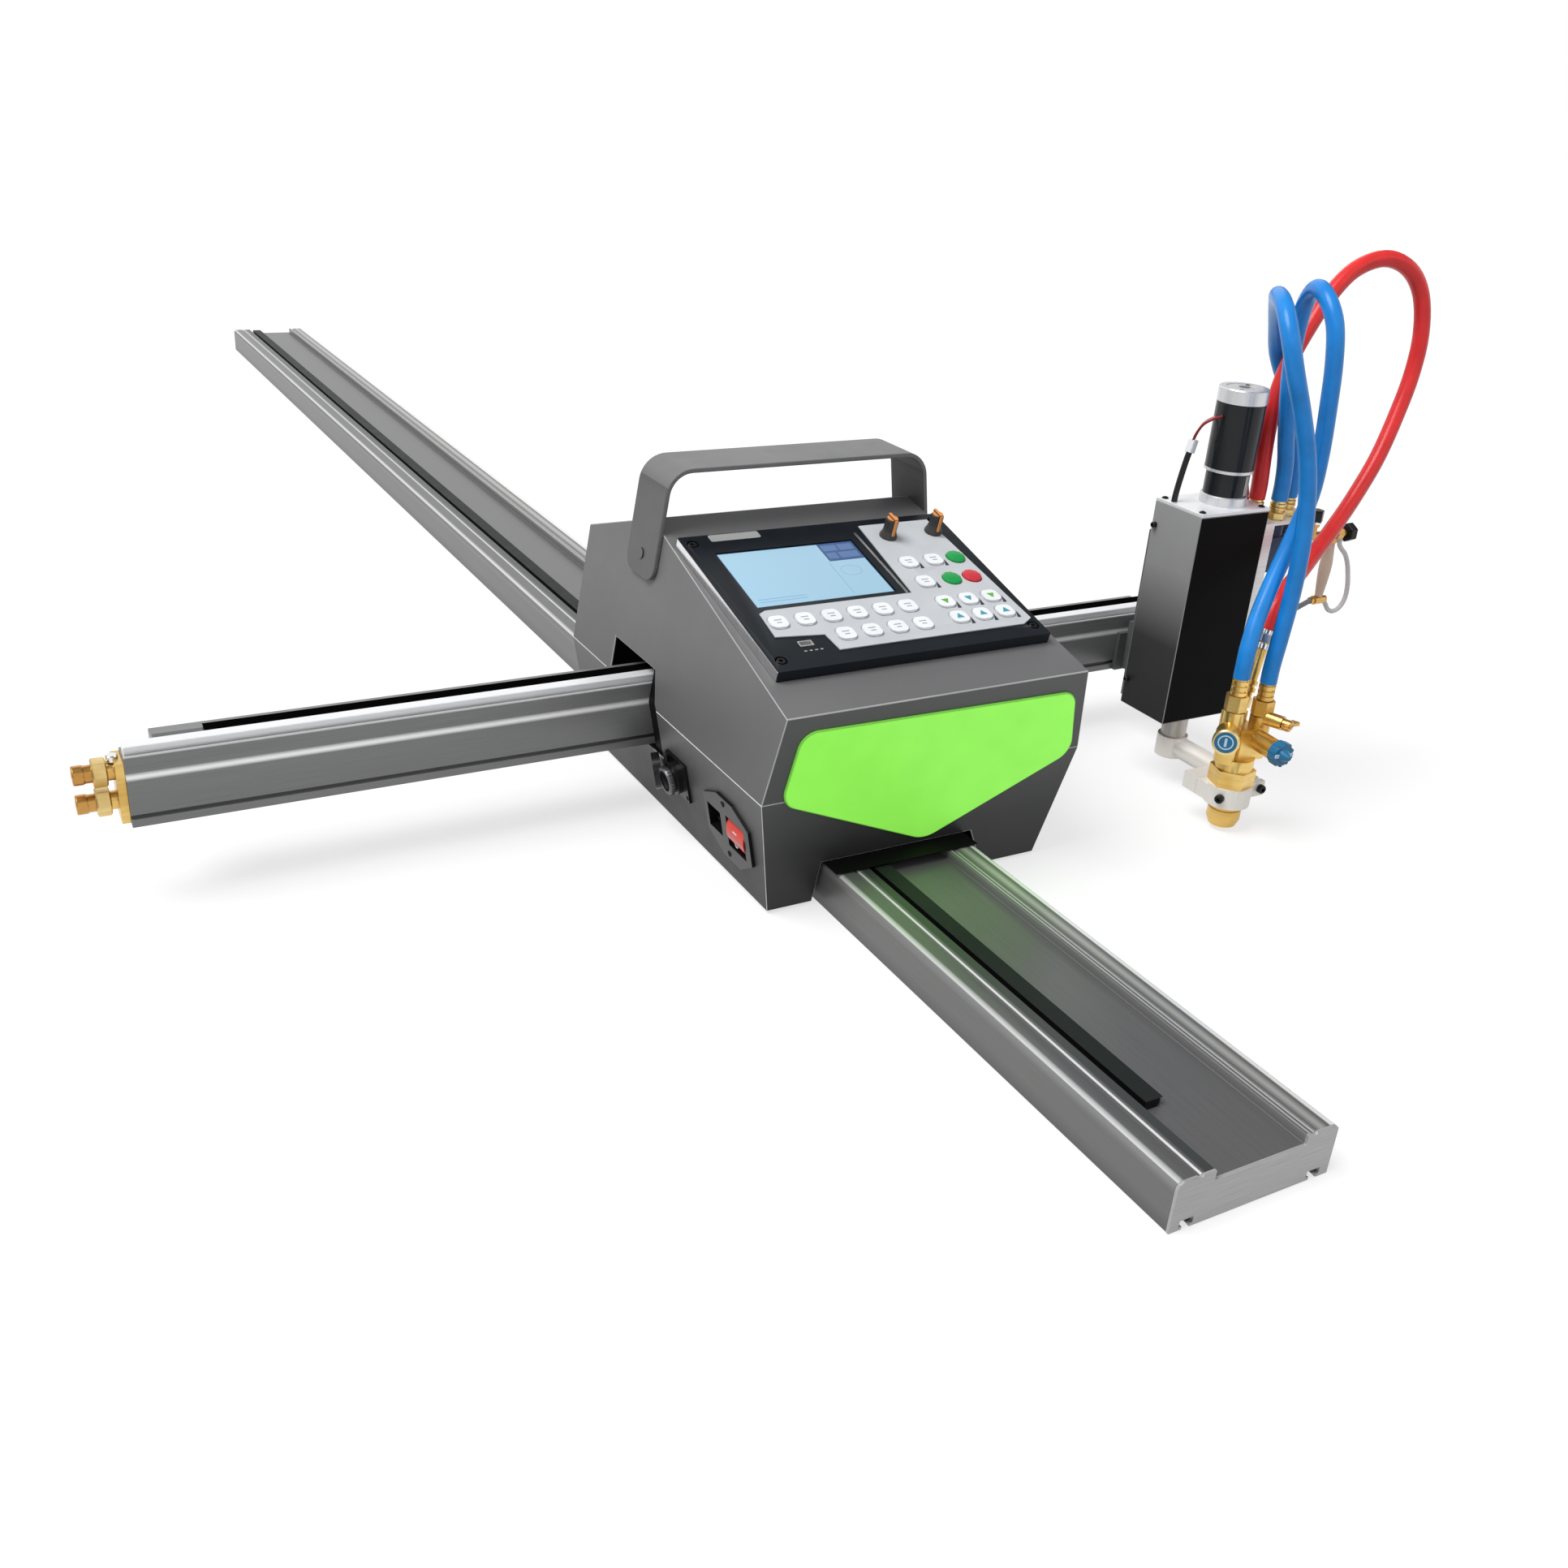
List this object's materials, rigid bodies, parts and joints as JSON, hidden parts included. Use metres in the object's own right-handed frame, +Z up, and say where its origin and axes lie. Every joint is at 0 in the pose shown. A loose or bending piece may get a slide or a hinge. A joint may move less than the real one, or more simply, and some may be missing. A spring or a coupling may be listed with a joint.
{
  "type": "portable cnc plasma cutter",
  "caption": "Portable rail-mounted cutting machine: motor body on a long rail, cross beam, motorised lifter, gas torch with three hoses.",
  "frame": {"origin": "middle of the rail's underside, on the floor", "axes": "+Y along the rail away from the control panel, +X across the rail towards the torch, +Z up"},
  "size_m": [1.492, 3.45, 0.6171],
  "materials": {
    "rail_dark": "dark anodised, satin",
    "rack_dark": "dark oiled steel",
    "cut_aluminium": "bare sawn aluminium",
    "body_grey": "fine-texture dark grey powder coat",
    "badge_green": "bright green satin",
    "frame_steel": "grey primer",
    "screw_black": "black oxide",
    "panel_black": "fine black",
    "foil_grey": "pale grey foil with white keys",
    "screen_blue": "lit screen behind a clear window",
    "socket_metal": "bright plated",
    "rocker_red": "red rocker",
    "case_metal": "folded sheet",
    "board_green": "circuit board",
    "motor_black": "black enamel",
    "machined": "machined",
    "steel": "ground steel",
    "wheel_steel": "hardened dark steel",
    "knob_black": "black with an orange pointer",
    "key_green": "green key",
    "key_red": "red key",
    "beam_grey": "dark anodised, satin",
    "guide_bright": "ground bright",
    "brass": "turned brass",
    "bracket_grey": "grey paint",
    "housing_black": "black semi-gloss",
    "valve_blue": "dark blue moulded coil",
    "knob_blue": "blue",
    "hose_blue": "smooth blue hose",
    "hose_red": "smooth red hose"
  },
  "bodies": {
    "rail": {"rail_extrusion": "rail_dark", "rail_rack": "rack_dark", "rail_end_caps": "cut_aluminium"},
    "carriage": {"lower_tray": "body_grey", "upper_cover": "body_grey", "front_badge": "badge_green", "chassis_frame": "frame_steel", "carry_handle": "body_grey", "case_screws": "screw_black", "panel_frame": "panel_black", "keypad_overlay": "foil_grey", "lcd_screen": "screen_blue", "usb_socket": "socket_metal", "power_inlet": "panel_black", "round_socket": "panel_black", "power_supply": "case_metal", "control_board": "board_green", "travel_motor": "motor_black", "cross_motor": "motor_black", "beam_carriages": "machined", "wheel_axles": "steel"},
    "beam": {"beam_extrusion": "beam_grey", "beam_guide": "guide_bright", "beam_rack": "rack_dark", "gas_manifold": "brass", "inlet_fittings": "brass", "lifter_bracket": "bracket_grey", "lifter_housing": "housing_black", "lifter_top_plate": "machined", "lift_gearbox": "motor_black", "lift_motor": "motor_black", "guide_rods": "steel", "valve_bracket": "machined", "gas_valves": "valve_blue", "hose_fittings": "brass", "oxygen_hose": "hose_blue", "cutting_hose": "hose_blue", "fuel_hose": "hose_red"},
    "torch": {"lift_slide": "steel", "torch_arm": "machined", "torch_clamp": "machined", "torch_body": "brass", "cutting_nozzle": "brass"},
    "power_switch": {"power_switch": "rocker_red"},
    "wheel_front_left": {"wheel_front_left": "wheel_steel"},
    "wheel_front_right": {"wheel_front_right": "wheel_steel"},
    "wheel_rear_left": {"wheel_rear_left": "wheel_steel"},
    "wheel_rear_right": {"wheel_rear_right": "wheel_steel"},
    "travel_pinion": {"travel_pinion": "steel"},
    "cross_pinion": {"cross_pinion": "steel"},
    "knob_left": {"knob_left": "knob_black"},
    "knob_right": {"knob_right": "knob_black"},
    "key_start": {"key_start": "key_green"},
    "key_set": {"key_set": "key_green"},
    "key_stop": {"key_stop": "key_red"},
    "lift_screw": {"lift_screw": "steel"},
    "needle_knob": {"needle_knob": "knob_black"},
    "preheat_knob": {"preheat_knob": "knob_blue"},
    "fuel_knob": {"fuel_knob": "knob_blue"},
    "wing_valve": {"wing_valve": "brass"}
  },
  "joints": [
    {"name": "travel", "type": "slide", "parent": "rail", "child": "carriage", "axis": [0, 1, 0], "range_m": [-0.45, 2.4]},
    {"name": "cross_feed", "type": "slide", "parent": "carriage", "child": "beam", "axis": [1, 0, 0], "range_m": [-0.16, 0.45]},
    {"name": "torch_lift", "type": "slide", "parent": "beam", "child": "torch", "axis": [0, 0, 1], "range_m": [-0.003, 0.02], "deforming": ["oxygen_hose", "cutting_hose", "fuel_hose"]},
    {"name": "wheel_front_left_spin", "type": "hinge", "parent": "carriage", "child": "wheel_front_left", "pos_m": [-0.065, -1.15, 0.0612], "axis": [1, 0, 0], "range_deg": [-10577.69, 1983.33]},
    {"name": "wheel_front_right_spin", "type": "hinge", "parent": "carriage", "child": "wheel_front_right", "pos_m": [0.067, -1.15, 0.0612], "axis": [1, 0, 0], "range_deg": [-10577.69, 1983.33]},
    {"name": "wheel_rear_left_spin", "type": "hinge", "parent": "carriage", "child": "wheel_rear_left", "pos_m": [-0.065, -0.79, 0.0612], "axis": [1, 0, 0], "range_deg": [-10577.69, 1983.33]},
    {"name": "wheel_rear_right_spin", "type": "hinge", "parent": "carriage", "child": "wheel_rear_right", "pos_m": [0.067, -0.79, 0.0612], "axis": [1, 0, 0], "range_deg": [-10577.69, 1983.33]},
    {"name": "travel_pinion_spin", "type": "hinge", "parent": "carriage", "child": "travel_pinion", "pos_m": [-0.00585, -0.799, 0.0435], "axis": [0, 0, 1], "range_deg": [-1432.4, 7639.45]},
    {"name": "cross_pinion_spin", "type": "hinge", "parent": "carriage", "child": "cross_pinion", "pos_m": [0.023, -0.88485, 0.1545], "axis": [0, 0, 1], "range_deg": [-509.31, 1432.4]},
    {"name": "lift_screw_spin", "type": "hinge", "parent": "beam", "child": "lift_screw", "pos_m": [0.488, -1.088, 0.2], "axis": [0, 0, 1], "range_deg": [-1800.01, 270.01]},
    {"name": "knob_left_turn", "type": "hinge", "parent": "carriage", "child": "knob_left", "pos_m": [0.099, -0.98709, 0.30224], "axis": [0, -0.2669, 0.9637], "range_deg": [-150, 150]},
    {"name": "knob_right_turn", "type": "hinge", "parent": "carriage", "child": "knob_right", "pos_m": [0.158, -0.98709, 0.30224], "axis": [0, -0.2669, 0.9637], "range_deg": [-150, 150]},
    {"name": "key_start_press", "type": "slide", "parent": "carriage", "child": "key_start", "axis": [0, -0.2669, 0.9637], "range_m": [-0.0015, 0], "stiffness_N_per_m": 500, "springref_m": 0.001},
    {"name": "key_set_press", "type": "slide", "parent": "carriage", "child": "key_set", "axis": [0, -0.2669, 0.9637], "range_m": [-0.0015, 0], "stiffness_N_per_m": 500, "springref_m": 0.001},
    {"name": "key_stop_press", "type": "slide", "parent": "carriage", "child": "key_stop", "axis": [0, -0.2669, 0.9637], "range_m": [-0.0015, 0], "stiffness_N_per_m": 500, "springref_m": 0.001},
    {"name": "power_switch_rock", "type": "hinge", "parent": "carriage", "child": "power_switch", "pos_m": [-0.1533, -1.1525, 0.06737], "axis": [0, 1, 0], "range_deg": [-10, 10]},
    {"name": "needle_knob_turn", "type": "hinge", "parent": "beam", "child": "needle_knob", "pos_m": [0.6985, -1.094, 0.29], "axis": [1, 0, 0], "range_deg": [-720, 0]},
    {"name": "preheat_knob_turn", "type": "hinge", "parent": "torch", "child": "preheat_knob", "pos_m": [0.415, -1.233, 0.125], "axis": [-0.7431, -0.6691, 0], "range_deg": [-720, 0]},
    {"name": "fuel_knob_turn", "type": "hinge", "parent": "torch", "child": "fuel_knob", "pos_m": [0.457, -1.238, 0.113], "axis": [-0.0872, -0.9962, 0], "range_deg": [-720, 0]},
    {"name": "wing_valve_turn", "type": "hinge", "parent": "torch", "child": "wing_valve", "pos_m": [0.467, -1.232, 0.136], "axis": [0.342, -0.9397, 0], "range_deg": [-90, 0]}
  ],
  "couplings": [
    {"joint": "wheel_front_left_spin", "follows": "travel", "rad_per_m": -76.923},
    {"joint": "wheel_front_right_spin", "follows": "travel", "rad_per_m": -76.923},
    {"joint": "wheel_rear_left_spin", "follows": "travel", "rad_per_m": -76.923},
    {"joint": "wheel_rear_right_spin", "follows": "travel", "rad_per_m": -76.923},
    {"joint": "travel_pinion_spin", "follows": "travel", "rad_per_m": 55.556},
    {"joint": "cross_pinion_spin", "follows": "cross_feed", "rad_per_m": 55.556},
    {"joint": "lift_screw_spin", "follows": "torch_lift", "rad_per_m": -1570.8}
  ]
}
